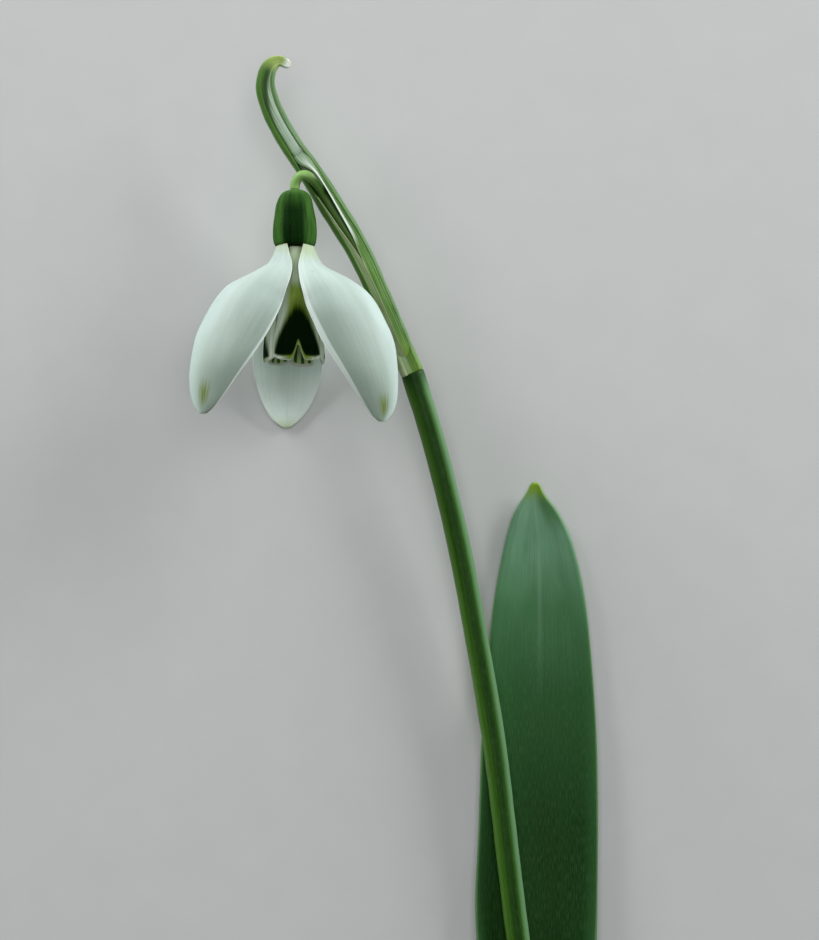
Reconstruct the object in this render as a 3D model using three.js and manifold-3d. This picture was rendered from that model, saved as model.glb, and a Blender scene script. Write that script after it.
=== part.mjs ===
// A snowdrop that lies on a table: one nodding flower on its cut stem, with one broad leaf.
// Millimetres. The stem runs along +Y, from its cut end to the hooked tip of the sheath.
// +Z is up from the table, and the origin is at the bottom, under the middle of the plant.

import * as THREE from 'three';
import { mergeVertices } from 'three/addons/utils/BufferGeometryUtils.js';
import Module from 'manifold-3d';

const wasm = await Module();
wasm.setup();

// Driving dimensions -------------------------------------------------------------------------

const clawGap = 0.1; // from the ovary to the inner petals

const stemRadius = 1.42;
const stemSides = 12;
const stemSteps = 44;

const pedicelRadius = 0.6;
const pedicelSides = 8;
const pedicelSteps = 64;

const sheathRings = 44;
const grooveWidth = 1.46; // the open side of the sheath, where the pedicel lies
const grooveFloor = -0.4; // from the middle of the sheath
const pedicelLift = 0.28; // of the pedicel's middle over the middle of the sheath

const leafMidThickness = 0.95;
const leafMarginThickness = 0.62;
const leafRows = 40;
const leafColumns = 10;

const bloomPlace = new THREE.Vector3(-12.12, 43.35, 10.8); // the lower end of the ovary
const bloomTilt = THREE.MathUtils.degToRad(5); // of the mouth, up from the table
const tubeTurn = THREE.MathUtils.degToRad(8); // of the inner petals round the axis

const ovarySides = 24;

const petalThickness = 0.6;
const outerPetalRows = 20;
const outerPetalColumns = 10;
const innerPetalRows = 14;
const innerPetalColumns = 14;

const innerPetalLength = 14;
const notchDepth = 2.4;

const antherCount = 6;
const antherRing = 0.72; // radius of the ring that the anthers stand on

const leafBase = -66.6;
const leafTip = 15.3;
const leafRowBias = 1.25; // above 1, rows are closer together at the tip
const leafPress = 0.08; // sunk by this much before its underside is pressed flat

// Leaf measures along Y, as [y, value] --------------------------------------------------------

const leafHalfWidths = [
  [-66.6, 5.3],
  [-60, 5.9],
  [-50, 7.0],
  [-40.6, 7.75],
  [-25.4, 7.5],
  [-13.8, 7.1],
  [-4, 6.25],
  [2.1, 5.45],
  [7.4, 4.3],
  [10.6, 3.2],
  [13, 1.85],
  [14.2, 1.05],
  [14.9, 0.65],
  [15.3, 0.25],
];
const leafMiddles = [
  [-66.6, 18.15],
  [-60, 17.7],
  [-40.6, 17.05],
  [-25.4, 17.3],
  [-4, 17.5],
  [7.4, 17.4],
  [13, 16.95],
  [15.3, 16.9],
];
const leafBends = [ // 1 / radius of the arc across it
  [-66.6, 0.47],
  [-60, 0.37],
  [-50, 0.17],
  [-40.6, 0.075],
  [-25.4, 0.055],
  [7.4, 0.06],
  [12, 0.12],
  [15.3, 0.3],
];
const leafRises = [ // of its middle from the table
  [4, 0],
  [8, 0.15],
  [12, 0.7],
  [15.3, 1.6],
];

// Sheath measures along its route, as [share, value] ------------------------------------------

const sheathHalfWidths = [
  [0, 1.46],
  [0.12, 1.42],
  [0.25, 1.4],
  [0.38, 1.5],
  [0.5, 1.57],
  [0.62, 1.45],
  [0.72, 1.33],
  [0.85, 1.27],
  [0.91, 1.15],
  [0.95, 0.85],
  [0.985, 0.7],
  [1, 0.45],
];
const sheathHalfDepths = [
  [0, 1.42],
  [0.1, 1.25],
  [0.5, 1.2],
  [0.75, 1.1],
  [0.9, 0.95],
  [0.985, 0.65],
  [1, 0.4],
];
const grooveDepths = [
  [0.015, 0],
  [0.05, 1],
  [0.57, 1],
  [0.76, 0],
];

// Routes of the stalks, as [x, y, z] of their middle lines ------------------------------------

const stemRoute = route([
  [18.15, -66.5, 2.45],
  [17.6, -60.5, 2.5],
  [16.6, -53.4, 2.6],
  [14.8, -40.5, 2.75],
  [13.3, -28.3, 3.05],
  [11.8, -16.0, 3.45],
  [9.7, -3.8, 4.05],
  [7.4, 8.3, 4.85],
  [4.4, 20.4, 5.8],
  [1.85, 28.6, 6.4],
]);

const sheathRoute = route([
  [1.78, 28.8, 6.4],
  [0.2, 32.4, 6.7],
  [-1.8, 37.2, 7.1],
  [-4.9, 43.7, 7.7],
  [-7.5, 47.9, 8.1],
  [-10.2, 52.2, 8.5],
  [-12.6, 55.7, 8.8],
  [-14.3, 58.6, 9.0],
  [-15.3, 61.0, 9.1],
  [-15.65, 63.1, 9.2],
  [-15.2, 64.9, 9.2],
  [-14, 65.5, 9.2],
  [-12.9, 65.2, 9.2],
]);

const pedicelRoute = route([
  [0.4, 31.95, 6.7 + pedicelLift],
  [-1.8, 37.2, 7.1 + pedicelLift],
  [-4.9, 43.7, 7.7 + pedicelLift],
  [-7.5, 47.9, 8.1 + pedicelLift],
  [-8.7, 49.85, 8.65],
  [-9.35, 50.75, 9.45],
  [-9.9, 51.35, 10.2],
  [-10.6, 51.85, 10.55],
  [-11.35, 51.9, 10.5],
  [-11.85, 51.45, 10.35],
  [-12.1, 50.85, 10.22],
  [-12.12, 50.25, 10.18],
]);

// Bloom profiles ------------------------------------------------------------------------------

const ovaryProfile = [ // [radius, height]
  [0, 0],
  [2.38, 0],
  [2.5, 0.5],
  [2.58, 1.3],
  [2.58, 2.2],
  [2.5, 3.2],
  [2.32, 4.5],
  [2.18, 5.15],
  [1.97, 5.8],
  [1.65, 6.35],
  [1.2, 6.7],
  [0.75, 6.8],
  [0, 6.8],
];
const outerSpine = route([ // [0, -down, out from the axis]
  [0, -0.24, 2.05],
  [0, -1.2, 2.15],
  [0, -2.3, 2.8],
  [0, -3.3, 4.1],
  [0, -4.8, 5.75],
  [0, -7.9, 7.9],
  [0, -11.5, 9.6],
  [0, -15.2, 10.75],
  [0, -18.4, 11.2],
  [0, -21.0, 11.2],
]);
const outerHalfWidths = [ // [share of the length, arc from the middle to the margin]
  [0, 1.05],
  [0.05, 1.5],
  [0.1, 2.4],
  [0.16, 3.5],
  [0.25, 4.5],
  [0.38, 5.2],
  [0.55, 5.2],
  [0.7, 4.4],
  [0.82, 3.4],
  [0.9, 2.5],
  [0.95, 1.7],
  [0.98, 1.0],
  [1, 0.25],
];
const outerSways = [ // [share of the length, middle's shift across the petal]
  [0, 0.1],
  [0.05, 0.5],
  [0.1, 0.8],
  [0.16, 0.6],
  [0.3, 0.2],
  [0.5, 0],
  [1, -0.7],
];
const backBreadths = [ // [share of the length, width over a side petal's]
  [0, 0.8],
  [1, 0.94],
];
const outerTwists = [ // [share of the length, share of the twist]
  [0, 0],
  [0.3, 1],
];
const outerCups = [ // [share of the length, hollow over half width]
  [0, 0.12],
  [0.15, 0.3],
  [0.4, 0.32],
  [0.8, 0.28],
  [1, 0.15],
];
const innerRadii = [ // [down from the ovary, radius]
  [0, 1.35],
  [2, 1.6],
  [5, 2.25],
  [9, 3.0],
  [12, 3.3],
  [14.2, 3.5],
];
const innerHalfAngles = [ // [down from the ovary, degrees]
  [0, 34],
  [2, 40],
  [5, 46],
  [9, 48],
  [12, 51],
  [14.2, 53],
];
const notchShare = 0.26; // of the half width
const lobeShare = 0.55; // where a lobe is longest
const lobeDrop = 3;

const stamenDiscProfile = [ // [radius, height]
  [0, -0.7],
  [0.9, -0.7],
  [0.9, -0.1],
  [0, -0.1],
];
const antherProfile = [ // [radius, height]
  [0, -6.6],
  [0.12, -5.8],
  [0.3, -3.6],
  [0.34, -1.9],
  [0.18, -1.1],
  [0.18, -0.4],
  [0, -0.4],
];
const styleProfile = [ // [radius, height]
  [0, -8.2],
  [0.2, -8.1],
  [0.26, -6.5],
  [0.3, -0.8],
  [0, -0.8],
];
// Angles in degrees. The twist turns a petal's face about its own length, and the sway is the
// share of the shift that brings its claw towards the front.
const outerPetals = [
  { name: 'outer_petal_left', turn: -57, opening: 1.2, twist: 24, size: 0.99, sway: 1 },
  { name: 'outer_petal_right', turn: 58.5, opening: 0.8, twist: -24, size: 1.035, sway: -0.5 },
  { name: 'outer_petal_back', turn: 187, opening: 2.9, twist: 0, size: 1, sway: 0 },
];
const innerPetals = [
  { name: 'inner_petal_front', turn: 0 },
  { name: 'inner_petal_left', turn: -120 },
  { name: 'inner_petal_right', turn: 120 },
];

// Helpers ------------------------------------------------------------------------------------

function route(points) {
  return new THREE.CatmullRomCurve3(points.map((point) => new THREE.Vector3(...point)));
}

/** Reads a smooth curve through [place, value] pairs, whose places rise. */
function smooth(pairs, place) {
  const last = pairs.length - 1;
  if (place <= pairs[0][0]) return pairs[0][1];
  if (place >= pairs[last][0]) return pairs[last][1];
  const index = pairs.findIndex((pair) => pair[0] > place) - 1;
  const slope = (i) => {
    const before = pairs[Math.max(i - 1, 0)];
    const after = pairs[Math.min(i + 1, last)];
    return (after[1] - before[1]) / (after[0] - before[0]);
  };
  const [x0, y0] = pairs[index];
  const [x1, y1] = pairs[index + 1];
  const step = x1 - x0;
  const u = (place - x0) / step;
  const start = y0 * (1 + 2 * u) * (1 - u) ** 2 + slope(index) * step * u * (1 - u) ** 2;
  const end = y1 * u ** 2 * (3 - 2 * u) + slope(index + 1) * step * u ** 2 * (u - 1);
  return start + end;
}

function geometryFrom(vertices, triangles) {
  const geometry = new THREE.BufferGeometry();
  const positions = vertices.flatMap((vertex) => vertex.toArray());
  geometry.setAttribute('position', new THREE.Float32BufferAttribute(positions, 3));
  geometry.setIndex(triangles);
  geometry.computeVertexNormals();
  return geometry;
}

/** A round stalk along a route. */
function stalk(path, radius, sides, steps) {
  const section = new THREE.Shape();
  for (let i = 0; i < sides; i += 1) {
    const angle = (2 * Math.PI * i) / sides;
    const point = [radius * Math.cos(angle), radius * Math.sin(angle)];
    if (i === 0) section.moveTo(...point);
    else section.lineTo(...point);
  }
  return new THREE.ExtrudeGeometry(section, { steps, extrudePath: path, bevelEnabled: false });
}

/** Joins equal rings of points, each anticlockwise seen from the far end, into one closed body. */
function loft(rings) {
  const size = rings[0].length;
  const vertices = rings.flat();
  const triangles = [];
  for (let ring = 0; ring < rings.length - 1; ring += 1) {
    for (let i = 0; i < size; i += 1) {
      const a = ring * size + i;
      const b = ring * size + ((i + 1) % size);
      triangles.push(a, b, a + size, b, b + size, a + size);
    }
  }
  const lastRing = vertices.length - size;
  for (const ring of [rings[0], rings[rings.length - 1]]) {
    const sum = ring.reduce((total, point) => total.add(point), new THREE.Vector3());
    vertices.push(sum.divideScalar(size));
  }
  for (let i = 0; i < size; i += 1) {
    const next = (i + 1) % size;
    triangles.push(vertices.length - 2, next, i);
    triangles.push(vertices.length - 1, lastRing + i, lastRing + next);
  }
  return geometryFrom(vertices, triangles);
}

/**
 * A closed blade: a curved grid with a thickness. pointAt(t, s) has t from 0 to 1 along the blade
 * and s from -1 to 1 across it. Both faces are split into triangles alike.
 */
function blade(pointAt, thicknessAt, rows, columns) {
  const upper = [];
  const lower = [];
  const nudge = 1e-3;
  for (let row = 0; row <= rows; row += 1) {
    for (let column = 0; column <= columns; column += 1) {
      const t = row / rows;
      const s = (2 * column) / columns - 1;
      const along = pointAt(Math.min(t + nudge, 1), s).sub(pointAt(Math.max(t - nudge, 0), s));
      const across = pointAt(t, s + nudge).sub(pointAt(t, s - nudge));
      const normal = across.cross(along).normalize();
      const half = thicknessAt(t, s) / 2;
      upper.push(pointAt(t, s).addScaledVector(normal, half));
      lower.push(pointAt(t, s).addScaledVector(normal, -half));
    }
  }
  const stride = columns + 1;
  const under = upper.length;
  const triangles = [];
  for (let row = 0; row < rows; row += 1) {
    for (let column = 0; column < columns; column += 1) {
      const a = row * stride + column;
      const [b, c, d] = [a + 1, a + stride, a + stride + 1];
      triangles.push(a, b, c, b, d, c);
      triangles.push(under + a, under + c, under + b, under + b, under + c, under + d);
    }
  }
  const rim = [];
  for (let column = 0; column < columns; column += 1) rim.push(column);
  for (let row = 0; row < rows; row += 1) rim.push(row * stride + columns);
  for (let column = columns; column > 0; column -= 1) rim.push(rows * stride + column);
  for (let row = rows; row > 0; row -= 1) rim.push(row * stride);
  rim.forEach((from, i) => {
    const to = rim[(i + 1) % rim.length];
    triangles.push(from, under + from, to, to, under + from, under + to);
  });
  return geometryFrom([...upper, ...lower], triangles);
}

// Leaf ---------------------------------------------------------------------------------------

/** Each row of the leaf is an arc: it lies flat, then clasps the stem like a sheath at its base. */
function leafPoint(t, s) {
  const y = leafBase + (leafTip - leafBase) * (1 - (1 - t) ** leafRowBias);
  const bend = smooth(leafBends, y);
  const angle = s * smooth(leafHalfWidths, y) * bend;
  const middle = smooth(leafMiddles, y);
  const rise = leafMidThickness / 2 - leafPress + smooth(leafRises, y);
  return new THREE.Vector3(middle + Math.sin(angle) / bend, y, rise + (1 - Math.cos(angle)) / bend);
}

function leafGeometry() {
  const thicknessAt = (t, s) => leafMidThickness + (leafMarginThickness - leafMidThickness) * s * s;
  const geometry = blade(leafPoint, thicknessAt, leafRows, leafColumns);
  const position = geometry.attributes.position;
  for (let i = 0; i < position.count; i += 1) position.setZ(i, Math.max(position.getZ(i), 0));
  return geometry;
}

// Sheath over the flower ---------------------------------------------------------------------

/** Half of a row of the sheath's outline, from the middle of the groove's floor to its back. */
function sheathOutline(place) {
  const width = smooth(sheathHalfWidths, place);
  const depth = smooth(sheathHalfDepths, place);
  const open = smooth(grooveDepths, place);
  const lip = Math.min(grooveWidth / 2, 0.5 * width);
  const lipHeight = 0.92 * depth;
  const floor = lipHeight + (grooveFloor - lipHeight) * open;
  return [
    [lip, floor],
    [lip, lipHeight],
    [0.72 * width, depth],
    [0.93 * width, 0.62 * depth],
    [width, 0.05 * depth],
    [0.9 * width, -0.5 * depth],
    [0.55 * width, -0.88 * depth],
  ];
}

function sheathGeometry() {
  const up = new THREE.Vector3(0, 0, 1);
  const rings = [];
  for (let i = 0; i <= sheathRings; i += 1) {
    const place = i / sheathRings;
    const tangent = sheathRoute.getTangentAt(place);
    const side = tangent.clone().cross(up).normalize();
    const front = side.clone().cross(tangent);
    const half = sheathOutline(place);
    const back = [0, -smooth(sheathHalfDepths, place)];
    const mirrored = half.map(([across, height]) => [-across, height]).reverse();
    const middle = sheathRoute.getPointAt(place);
    rings.push([...half, back, ...mirrored].map(([across, height]) => (
      middle.clone().addScaledVector(side, across).addScaledVector(front, height)
    )));
  }
  return loft(rings);
}

// Bloom --------------------------------------------------------------------------------------
// In the bloom's own frame its axis is Y, the ovary's lower end is at 0, the petals hang towards
// -Y and a petal's middle is turned towards +Z.

function lathe(profile, sides) {
  return new THREE.LatheGeometry(profile.map((point) => new THREE.Vector2(...point)), sides);
}

/** A point of an outer petal: arcs across a bulging spine, hollowed towards the flower's axis. */
function outerPetalPoint(t, s, { twist, size, sway }) {
  const along = outerSpine.getTangentAt(t);
  const turn = THREE.MathUtils.degToRad(twist * smooth(outerTwists, t));
  const inward = new THREE.Vector3(0, -along.z, along.y);
  const across = new THREE.Vector3(Math.cos(turn), 0, 0).addScaledVector(inward, Math.sin(turn));
  const hollow = inward.multiplyScalar(Math.cos(turn)).setX(-Math.sin(turn));
  const marginAngle = 2 * Math.atan(smooth(outerCups, t));
  const breadth = sway === 0 ? smooth(backBreadths, t) : 1;
  const radius = (breadth * smooth(outerHalfWidths, t)) / marginAngle;
  const angle = s * marginAngle;
  const aside = sway * smooth(outerSways, t) + radius * Math.sin(angle);
  const point = outerSpine.getPointAt(t).multiplyScalar(size).addScaledVector(across, aside);
  return point.addScaledVector(hollow, radius * (1 - Math.cos(angle)));
}

function outerPetalGeometry(petal) {
  const pointAt = (t, s) => outerPetalPoint(t, s, petal);
  return blade(pointAt, () => petalThickness, outerPetalRows, outerPetalColumns);
}

/** A point of an inner petal: part of a bell round the axis, with two lobes and a notch. */
function innerPetalPoint(t, s) {
  const notch = notchDepth * Math.max(0, 1 - Math.abs(s) / notchShare) ** 1.2;
  const lobes = lobeDrop * Math.max(0, Math.abs(s) - lobeShare) ** 2;
  const down = clawGap + t * (innerPetalLength - notch - lobes);
  const radius = smooth(innerRadii, down);
  const angle = s * THREE.MathUtils.degToRad(smooth(innerHalfAngles, down));
  return new THREE.Vector3(radius * Math.sin(angle), -down, radius * Math.cos(angle));
}

function innerPetalGeometry() {
  return blade(innerPetalPoint, () => petalThickness, innerPetalRows, innerPetalColumns);
}

function solidFrom(geometry) {
  const plain = geometry.clone();
  plain.deleteAttribute('normal');
  plain.deleteAttribute('uv');
  const merged = mergeVertices(plain, 1e-5);
  return new wasm.Manifold(new wasm.Mesh({
    numProp: 3,
    vertProperties: merged.attributes.position.array,
    triVerts: new Uint32Array(merged.index.array),
  }));
}

/** Pointed anthers in a ring, joined by the disc that they stand on. */
function stamensGeometry() {
  let solid = solidFrom(lathe(stamenDiscProfile, 18));
  for (let i = 0; i < antherCount; i += 1) {
    const turn = (2 * Math.PI * (i + 0.5)) / antherCount;
    const anther = lathe(antherProfile, 8);
    anther.translate(antherRing * Math.sin(turn), 0, antherRing * Math.cos(turn));
    solid = solid.add(solidFrom(anther));
  }
  const { vertProperties, triVerts } = solid.getMesh();
  const geometry = new THREE.BufferGeometry();
  geometry.setAttribute('position', new THREE.BufferAttribute(vertProperties, 3));
  geometry.setIndex(new THREE.BufferAttribute(triVerts, 1));
  geometry.computeVertexNormals();
  return geometry;
}

// Assembly -----------------------------------------------------------------------------------

function material(color, roughness) {
  return new THREE.MeshStandardMaterial({ color, roughness, metalness: 0, side: THREE.DoubleSide });
}

const stemGreen = material(0x5f8f3c, 0.5);
const sheathGreen = material(0x7fa661, 0.4);
const ovaryGreen = material(0x2f5f26, 0.45);
const leafGreen = material(0x5f8f6c, 0.6);
const petalWhite = material(0xf1f4ef, 0.6);
const antherYellow = material(0xe0a53a, 0.6);
const styleGreen = material(0xbcd18a, 0.55);

const plant = new THREE.Group();
const bloom = new THREE.Group();
bloom.position.copy(bloomPlace);
bloom.rotation.set(-bloomTilt, 0, 0);
plant.add(bloom);

function add(group, name, geometry, meshMaterial) {
  const mesh = new THREE.Mesh(geometry, meshMaterial);
  mesh.name = name;
  group.add(mesh);
  return mesh;
}

add(plant, 'leaf', leafGeometry(), leafGreen);
add(plant, 'scape', stalk(stemRoute, stemRadius, stemSides, stemSteps), stemGreen);
add(plant, 'spathe', sheathGeometry(), sheathGreen);
add(plant, 'pedicel', stalk(pedicelRoute, pedicelRadius, pedicelSides, pedicelSteps), stemGreen);
add(bloom, 'ovary', lathe(ovaryProfile, ovarySides), ovaryGreen);
for (const shape of outerPetals) {
  const { name, turn, opening } = shape;
  const petal = add(bloom, name, outerPetalGeometry(shape), petalWhite);
  petal.rotation.order = 'YXZ';
  petal.rotation.set(THREE.MathUtils.degToRad(-opening), THREE.MathUtils.degToRad(turn), 0);
}

const tube = new THREE.Group();
tube.rotation.y = tubeTurn;
bloom.add(tube);
for (const { name, turn } of innerPetals) {
  const petal = add(tube, name, innerPetalGeometry(), petalWhite);
  petal.rotation.y = THREE.MathUtils.degToRad(turn);
}
add(tube, 'stamens', stamensGeometry(), antherYellow);
add(tube, 'style', lathe(styleProfile, 8), styleGreen);

export default plant;
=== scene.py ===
"""A cut snowdrop on a pale table: the looks of the flower, modelled over its solid part."""

import math

import bmesh
import bpy
from mathutils import Matrix, Vector, noise


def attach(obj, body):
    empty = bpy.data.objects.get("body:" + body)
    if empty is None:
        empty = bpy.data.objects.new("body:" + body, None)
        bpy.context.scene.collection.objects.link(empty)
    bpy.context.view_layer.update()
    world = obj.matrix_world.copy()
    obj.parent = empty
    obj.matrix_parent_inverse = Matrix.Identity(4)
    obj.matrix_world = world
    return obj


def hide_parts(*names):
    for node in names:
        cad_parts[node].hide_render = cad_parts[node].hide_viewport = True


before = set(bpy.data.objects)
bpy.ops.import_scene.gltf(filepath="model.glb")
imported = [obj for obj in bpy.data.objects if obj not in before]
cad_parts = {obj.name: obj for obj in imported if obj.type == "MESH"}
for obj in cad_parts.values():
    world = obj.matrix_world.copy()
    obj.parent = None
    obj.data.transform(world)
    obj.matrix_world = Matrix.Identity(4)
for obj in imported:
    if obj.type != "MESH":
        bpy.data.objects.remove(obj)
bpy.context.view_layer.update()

MM = 0.001

# Driving values, in millimetres and degrees ----------------

# Vertices closer than this are one
SEAM = 0.004
# The radius of a ring that closes a tube to a point
POINT = 0.001

STEM_RADIUS = 1.42
STEM_ROUTE = [
    (18.15, -66.5, 2.45), (17.6, -60.5, 2.5), (16.6, -53.4, 2.6), (14.8, -40.5, 2.75),
    (13.3, -28.3, 3.05), (11.8, -16.0, 3.45), (9.7, -3.8, 4.05), (7.4, 8.3, 4.85),
    (4.4, 20.4, 5.8), (1.85, 28.6, 6.4),
]

SHEATH_ROUTE = [
    (1.89, 28.5, 6.38), (0.2, 32.4, 6.7), (-1.8, 37.2, 7.1), (-4.9, 43.7, 7.7),
    (-7.5, 47.9, 8.1), (-10.2, 52.2, 8.5), (-12.6, 55.7, 8.8), (-14.3, 58.6, 9.0),
    (-15.3, 61.0, 9.1), (-15.65, 63.1, 9.2), (-15.2, 64.9, 9.2), (-14.1, 65.7, 9.2),
    (-13.15, 65.35, 9.2),
]
# Measures along the sheath, as (share of its length, value)
SHEATH_HALF_WIDTHS = [
    (0, 1.46), (0.12, 1.42), (0.25, 1.4), (0.38, 1.5), (0.5, 1.57), (0.62, 1.45),
    (0.72, 1.36), (0.85, 1.3), (0.91, 1.16), (0.95, 1.0), (0.968, 0.8), (0.985, 0.66), (1, 0.58),
]
SHEATH_HALF_DEPTHS = [
    (0, 1.44), (0.1, 1.27), (0.5, 1.22), (0.75, 1.1), (0.9, 0.95), (0.97, 0.62), (1, 0.54),
]
GROOVE_DEPTHS = [(0.06, 0), (0.11, 1), (0.6, 1), (0.69, 0)]
GROOVE_WIDTH = 1.46
GROOVE_FLOOR = -0.4
SHEATH_COLUMNS = 16
SHEATH_ROWS = 128
# The rows that close the sheath's ends, as (share of its length, size, how far ahead)
SHEATH_FOOT = [(0, 0.001, 0), (0, 0.86, 0)]
SHEATH_TIP = [(1, 0.93, 0.16), (1, 0.75, 0.32), (1, 0.45, 0.44), (1, 0.001, 0.5)]

# The flaps over the groove: where their free edges run, as (share of the sheath, share of the
# half groove)
LEFT_FLAP_EDGES = [(0.045, 0.0), (0.3, 0.0), (0.42, 0.7), (0.5, 0.92), (0.555, 1.1)]
RIGHT_FLAP_EDGES = [
    (0.045, -0.1), (0.34, -0.12), (0.42, 0.28), (0.5, 0.58), (0.57, 0.72), (0.61, 0.6),
    (0.635, 0.1), (0.655, -0.7), (0.68, -1.0), (0.715, -1.0),
]
LEFT_FLAP_CURL = 0.04
RIGHT_FLAP_CURL = 0.1
# Where a flap is rooted, as a share of the half groove, and how thick it is
FLAP_ROOT = 1.25
FLAP_THICKNESS = 0.09
# The dome of the flaps over the groove, and how much of it there is along the sheath
FLAP_DOME = 0.14
FLAP_DOMES = [(0.6, 1), (0.67, 0)]

PEDICEL_RADIUS = 0.6
PEDICEL_LIFT = 0.28
PEDICEL_ROUTE = [
    (0.4, 31.95, 6.7 + PEDICEL_LIFT), (-1.8, 37.2, 7.1 + PEDICEL_LIFT),
    (-4.9, 43.7, 7.7 + PEDICEL_LIFT), (-7.5, 47.9, 8.1 + PEDICEL_LIFT), (-8.7, 49.85, 8.65),
    (-9.35, 50.75, 9.45), (-9.9, 51.35, 10.2), (-10.6, 51.85, 10.55), (-11.35, 51.9, 10.5),
    (-11.85, 51.45, 10.35), (-12.1, 50.85, 10.22), (-12.12, 50.25, 10.18),
]

LEAF_BASE = -66.6
LEAF_TIP = 15.3
# Above 1, the rows crowd towards the tip
LEAF_ROW_BIAS = 1.25
LEAF_THICKNESS = 0.95
LEAF_MARGIN_THICKNESS = 0.62
# How much of the underside is pressed flat on the table
LEAF_PRESS = 0.08
# Measures along the leaf, as (y, value)
LEAF_HALF_WIDTHS = [
    (-66.6, 5.3), (-60, 5.9), (-50, 7.0), (-40.6, 7.75), (-25.4, 7.5), (-13.8, 7.1), (-4, 6.25),
    (2.1, 5.45), (7.4, 4.3), (9.4, 3.66), (11.3, 2.85), (12.5, 2.12), (13.1, 1.66), (13.7, 1.24),
    (14.3, 0.88), (14.8, 0.68), (15.1, 0.48), (15.3, 0.15),
]
LEAF_MIDDLES = [
    (-66.6, 18.15), (-60, 17.7), (-40.6, 17.05), (-25.4, 17.3), (-4, 17.5), (7.4, 17.4),
    (13, 16.95), (15.3, 16.9),
]
LEAF_BENDS = [
    (-66.6, 0.47), (-60, 0.37), (-50, 0.17), (-40.6, 0.075), (-25.4, 0.055), (7.4, 0.06),
    (12, 0.12), (15.3, 0.3),
]
LEAF_RISES = [(4, 0), (8, 0.15), (12, 0.7), (15.3, 1.6)]

BLOOM_PLACE = Vector((-12.12, 43.35, 10.8))
BLOOM_TILT = 5
TUBE_TURN = 10
# The ovary, as (height, radius), and the radii of the rings that keep its two ends flat
OVARY_RADII = [
    (0, 2.3), (0.35, 2.46), (0.75, 2.54), (1.2, 2.59), (1.85, 2.6), (2.5, 2.57), (3.2, 2.5),
    (3.85, 2.42), (4.5, 2.32), (5.15, 2.18), (5.8, 1.97), (6.3, 1.7), (6.62, 1.35), (6.8, 0.95),
    (6.86, 0.7),
]
OVARY_ROWS = 26
OVARY_FOOT_RING = 1.2
OVARY_TOP_RING = 0.4

# (0, down from the ovary, out from the axis)
OUTER_SPINE = [
    (0, -0.15, 1.97), (0, 1.2, 2.2), (0, 2.3, 2.8), (0, 3.3, 4.1), (0, 4.8, 5.75),
    (0, 7.9, 7.9), (0, 11.5, 9.6), (0, 15.2, 10.75), (0, 18.4, 11.2), (0, 21.0, 11.2),
]
OUTER_HALF_WIDTHS = [
    (0, 1.15), (0.05, 1.6), (0.1, 2.5), (0.16, 3.6), (0.25, 4.6), (0.38, 5.3), (0.55, 5.3),
    (0.7, 4.5), (0.82, 3.5), (0.9, 2.6), (0.95, 1.8), (0.98, 1.1), (1, 0.3),
]
OUTER_ROW_BIAS = 1.15
PETAL_THICKNESS = 0.6
# How thick a petal's margin is, as a share of its middle
OUTER_MARGIN = 0.35
INNER_MARGIN = 0.45
LEFT_SWAYS = [(0, 0.2), (0.05, 0.2), (0.1, 0.38), (0.16, 0.5), (0.3, 0.2), (0.5, 0), (1, -0.7)]
RIGHT_SWAYS = [(0, 0), (0.05, 0.15), (0.1, 0.08), (0.16, -0.2), (0.3, -0.1), (0.5, 0), (1, 0.35)]
BACK_SWAYS = [(0, 0), (1, 0)]
LEFT_BREADTHS = [(0, 1.06), (0.1, 1.06), (0.2, 1), (1, 1)]
RIGHT_BREADTHS = [(0, 1), (1, 1)]
BACK_BREADTHS = [(0, 0.8), (0.55, 0.88), (0.65, 0.95), (0.75, 1.03), (0.85, 1.09), (1, 1.12)]
OUTER_TWISTS = [(0, 0), (0.3, 1)]
OUTER_CUPS = [(0, 0.12), (0.15, 0.3), (0.4, 0.32), (0.8, 0.28), (1, 0.15)]
OUTER_PETALS = [
    {
        "name": "outer_petal_left", "turn": -57, "opening": 1.2, "twist": 24, "size": 0.99,
        "breadths": LEFT_BREADTHS, "sways": LEFT_SWAYS, "fleck": (0.5, 0.88),
    },
    {
        "name": "outer_petal_right", "turn": 58.5, "opening": 0.8, "twist": -24, "size": 1.035,
        "breadths": RIGHT_BREADTHS, "sways": RIGHT_SWAYS, "fleck": (0.54, 0.91),
    },
    {
        "name": "outer_petal_back", "turn": 187, "opening": 2.9, "twist": 0, "size": 1,
        "breadths": BACK_BREADTHS, "sways": BACK_SWAYS, "fleck": (0.5, 0.9),
    },
]
# Where the fleck is painted on an outer petal's map, before it slides to the petal's own place
PAINTED_FLECK = (0.5, 0.9)
# How deep the painted shade grows on an outer petal's outside, away from its lit edge
LEFT_PAINTED_SHADING = 0.56
RIGHT_PAINTED_SHADING = 0.72

INNER_LENGTH = 13.9
# Measures down an inner petal, as (distance, value)
INNER_RADII = [(0, 1.35), (2, 1.6), (5, 2.3), (9, 3.12), (12, 3.45), (14.2, 3.62)]
INNER_HALF_ANGLES = [(0, 36), (2, 42), (5, 50), (9, 55), (12, 57.5), (14.2, 59)]
NOTCH_DEPTH = 2.15
NOTCH_SHARE = 0.24
LOBE_SHARE = 0.55
LOBE_DROP = 2.3
INNER_PETALS = [
    {"name": "inner_petal_front", "turn": 0, "spread": 0.87, "tuck": 1},
    {"name": "inner_petal_left", "turn": -112, "spread": 1.1, "tuck": 0.965},
    {"name": "inner_petal_right", "turn": 117, "spread": 1.1, "tuck": 0.965},
]
# The deep green mark: how far down its middle starts, and how far across it reaches
FRONT_MARK = (7.3, 0.9)
SIDE_MARK = (9.4, 0.72)

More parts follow.
